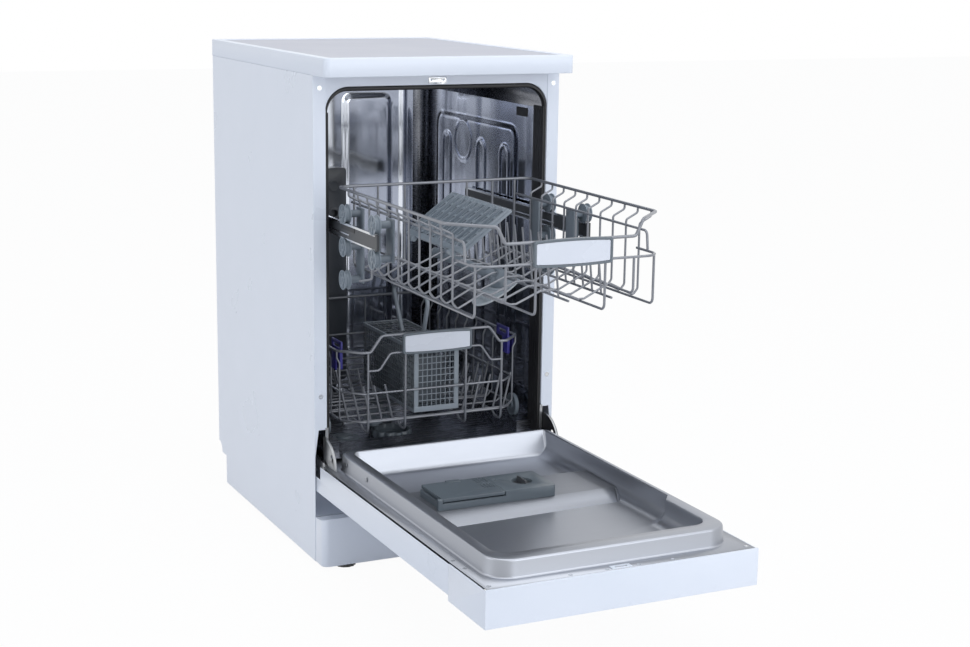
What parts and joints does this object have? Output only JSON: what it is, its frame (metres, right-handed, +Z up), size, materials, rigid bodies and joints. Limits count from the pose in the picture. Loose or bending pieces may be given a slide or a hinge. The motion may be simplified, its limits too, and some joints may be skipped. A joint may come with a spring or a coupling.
{
  "type": "freestanding dishwasher",
  "caption": "Slim freestanding dishwasher with a drop-down door, two sliding wire racks on wheels, spray arms, a cutlery basket, a cup shelf and a detergent dispenser.",
  "frame": {"origin": "centre of the rest pose's footprint, on the floor, with the door open and the upper rack out", "axes": "+Z up, the front with the open door faces -Y, +X to the right as seen from the front"},
  "size_m": [0.445, 1.196, 0.85],
  "materials": {
    "white_paint": "semi-gloss enamel",
    "white_plastic": "smooth",
    "worktop_laminate": "fine texture",
    "bright_steel": "bright",
    "zinc_sheet": "zinc grey, dull",
    "black_plastic": "moulded",
    "stainless": "bright brushed",
    "black_rubber": "matt",
    "grey_plastic": "moulded",
    "light_grey_plastic": "moulded",
    "dark_grey_plastic": "moulded",
    "natural_plastic": "translucent white",
    "coated_wire": "satin coating over steel wire",
    "handle_plastic": "smooth",
    "wheel_plastic": "moulded",
    "blue_plastic": "moulded",
    "button_plastic": "smooth",
    "display_glass": "dark window"
  },
  "bodies": {
    "cabinet": {"worktop_frame": "white_plastic", "worktop_panel": "worktop_laminate", "left_side_panel": "white_paint", "right_side_panel": "white_paint", "panel_screws": "bright_steel", "back_panel": "zinc_sheet", "base_pan": "black_plastic", "plinth": "white_paint", "splash_guard": "white_plastic", "hinge_brackets": "zinc_sheet", "tub_shell": "stainless", "tub_floor": "stainless", "front_frame": "white_paint", "door_seal": "black_rubber", "latch_striker": "bright_steel", "sump": "grey_plastic", "circulation_pump": "dark_grey_plastic", "drain_pump": "black_plastic", "water_softener": "natural_plastic", "filter_plate": "stainless", "spray_duct": "grey_plastic", "rear_connections": "black_plastic", "rail_guides": "grey_plastic", "rear_feet": "black_plastic"},
    "door": {"door_outer_panel": "white_paint", "door_liner": "stainless", "control_panel": "white_plastic", "display_window": "display_glass", "dispenser_body": "grey_plastic", "door_latch": "white_plastic", "door_screws": "bright_steel"},
    "power_button": {"power_button": "button_plastic"},
    "start_button": {"start_button": "button_plastic"},
    "dispenser_lid": {"dispenser_lid": "grey_plastic"},
    "rinse_cap": {"rinse_cap": "dark_grey_plastic"},
    "rails": {"rails": "bright_steel"},
    "upper_rack": {"upper_rack": "coated_wire", "upper_handle": "handle_plastic", "roller_brackets": "grey_plastic", "upper_spray_pipe": "grey_plastic"},
    "roller_front_top": {"upper_rollers_front_top": "wheel_plastic"},
    "roller_front_low": {"upper_rollers_front_low": "wheel_plastic"},
    "roller_rear_top": {"upper_rollers_rear_top": "wheel_plastic"},
    "roller_rear_low": {"upper_rollers_rear_low": "wheel_plastic"},
    "roller_spare": {"upper_rollers_spare": "wheel_plastic"},
    "cup_shelf": {"cup_shelf": "grey_plastic"},
    "upper_spray_arm": {"upper_spray_arm": "light_grey_plastic"},
    "lower_rack": {"lower_rack": "coated_wire", "lower_handle": "handle_plastic", "rack_clips": "blue_plastic"},
    "lower_wheels_front": {"lower_wheels_front": "wheel_plastic"},
    "lower_wheels_mid": {"lower_wheels_mid": "wheel_plastic"},
    "lower_wheels_rear": {"lower_wheels_rear": "wheel_plastic"},
    "fold_tines": {"fold_tines": "coated_wire"},
    "cutlery_basket": {"cutlery_basket": "light_grey_plastic"},
    "lower_spray_arm": {"lower_spray_arm": "grey_plastic"},
    "salt_cap": {"salt_cap": "dark_grey_plastic"},
    "filter_cup": {"filter_cup": "dark_grey_plastic"},
    "left_foot": {"front_left_foot": "black_plastic"},
    "right_foot": {"front_right_foot": "black_plastic"}
  },
  "joints": [
    {"name": "door_hinge", "type": "hinge", "parent": "cabinet", "child": "door", "pos_m": [0, 0.04625, 0.1717], "axis": [1, 0, 0], "range_deg": [-90, 0]},
    {"name": "power_press", "type": "slide", "parent": "door", "child": "power_button", "axis": [0, 0, 1], "range_m": [0, 0.0015], "stiffness_N_per_m": 400},
    {"name": "start_press", "type": "slide", "parent": "door", "child": "start_button", "axis": [0, 0, 1], "range_m": [0, 0.0015], "stiffness_N_per_m": 400},
    {"name": "dispenser_lid_hinge", "type": "hinge", "parent": "door", "child": "dispenser_lid", "pos_m": [-0.07, -0.24935, 0.1896], "axis": [-1, 0, 0], "range_deg": [-100, 0]},
    {"name": "rinse_cap_turn", "type": "hinge", "parent": "door", "child": "rinse_cap", "pos_m": [0.0295, -0.21235, 0.19], "axis": [0, 0, 1], "range_deg": [-90, 0]},
    {"name": "rail_slide", "type": "slide", "parent": "cabinet", "child": "rails", "axis": [0, -1, 0], "range_m": [-0.212, 0]},
    {"name": "upper_rack_slide", "type": "slide", "parent": "rails", "child": "upper_rack", "axis": [0, -1, 0], "range_m": [-0.261, 0]},
    {"name": "cup_shelf_hinge", "type": "hinge", "parent": "upper_rack", "child": "cup_shelf", "pos_m": [-0.1484, -0.24735, 0.589], "axis": [0, -1, 0], "range_deg": [-36, 28]},
    {"name": "upper_spray_arm_spin", "type": "hinge", "parent": "upper_rack", "child": "upper_spray_arm", "pos_m": [0, -0.17385, 0.48], "axis": [0, 0, 1], "continuous": true},
    {"name": "lower_rack_slide", "type": "slide", "parent": "cabinet", "child": "lower_rack", "axis": [0, -1, 0], "range_m": [0, 0.45]},
    {"name": "fold_tines_hinge", "type": "hinge", "parent": "lower_rack", "child": "fold_tines", "pos_m": [-0.104, 0.18265, 0.2435], "axis": [-1, 0, 0], "range_deg": [0, 80]},
    {"name": "cutlery_basket_lift", "type": "slide", "parent": "lower_rack", "child": "cutlery_basket", "axis": [0, 0, 1], "range_m": [0, 0.03]},
    {"name": "lower_spray_arm_spin", "type": "hinge", "parent": "cabinet", "child": "lower_spray_arm", "pos_m": [0, 0.30765, 0.19], "axis": [0, 0, 1], "continuous": true},
    {"name": "salt_cap_turn", "type": "hinge", "parent": "cabinet", "child": "salt_cap", "pos_m": [-0.122, 0.17665, 0.175], "axis": [0, 0, 1], "continuous": true},
    {"name": "filter_cup_turn", "type": "hinge", "parent": "cabinet", "child": "filter_cup", "pos_m": [-0.03, 0.18265, 0.175], "axis": [0, 0, 1], "range_deg": [-90, 0]},
    {"name": "left_foot_turn", "type": "hinge", "parent": "cabinet", "child": "left_foot", "pos_m": [-0.176, 0.03465, 0.003], "axis": [0, 0, 1], "continuous": true},
    {"name": "right_foot_turn", "type": "hinge", "parent": "cabinet", "child": "right_foot", "pos_m": [0.176, 0.03465, 0.003], "axis": [0, 0, 1], "continuous": true},
    {"name": "roller_front_top_spin", "type": "hinge", "parent": "upper_rack", "child": "roller_front_top", "pos_m": [0, -0.11735, 0.6018], "axis": [1, 0, 0], "continuous": true},
    {"name": "roller_front_low_spin", "type": "hinge", "parent": "upper_rack", "child": "roller_front_low", "pos_m": [0, -0.11735, 0.5482], "axis": [1, 0, 0], "continuous": true},
    {"name": "roller_rear_top_spin", "type": "hinge", "parent": "upper_rack", "child": "roller_rear_top", "pos_m": [0, 0.00765, 0.6018], "axis": [1, 0, 0], "continuous": true},
    {"name": "roller_rear_low_spin", "type": "hinge", "parent": "upper_rack", "child": "roller_rear_low", "pos_m": [0, 0.00765, 0.5482], "axis": [1, 0, 0], "continuous": true},
    {"name": "roller_spare_spin", "type": "hinge", "parent": "upper_rack", "child": "roller_spare", "pos_m": [0, 0.00765, 0.4946], "axis": [1, 0, 0], "continuous": true},
    {"name": "lower_wheels_front_spin", "type": "hinge", "parent": "lower_rack", "child": "lower_wheels_front", "pos_m": [0, 0.12065, 0.2238], "axis": [1, 0, 0], "continuous": true},
    {"name": "lower_wheels_mid_spin", "type": "hinge", "parent": "lower_rack", "child": "lower_wheels_mid", "pos_m": [0, 0.28765, 0.2238], "axis": [1, 0, 0], "continuous": true},
    {"name": "lower_wheels_rear_spin", "type": "hinge", "parent": "lower_rack", "child": "lower_wheels_rear", "pos_m": [0, 0.45465, 0.2238], "axis": [1, 0, 0], "continuous": true}
  ],
  "couplings": [
    {"joint": "rail_slide", "follows": "door_hinge", "m_per_rad": 0.13496},
    {"joint": "upper_rack_slide", "follows": "door_hinge", "m_per_rad": 0.16616},
    {"joint": "roller_front_top_spin", "follows": "door_hinge", "ratio": 12.781},
    {"joint": "roller_front_low_spin", "follows": "door_hinge", "ratio": -12.781},
    {"joint": "roller_rear_top_spin", "follows": "door_hinge", "ratio": 12.781},
    {"joint": "roller_rear_low_spin", "follows": "door_hinge", "ratio": -12.781},
    {"joint": "lower_wheels_front_spin", "follows": "lower_rack_slide", "rad_per_m": 50},
    {"joint": "lower_wheels_mid_spin", "follows": "lower_rack_slide", "rad_per_m": 50},
    {"joint": "lower_wheels_rear_spin", "follows": "lower_rack_slide", "rad_per_m": 50}
  ]
}
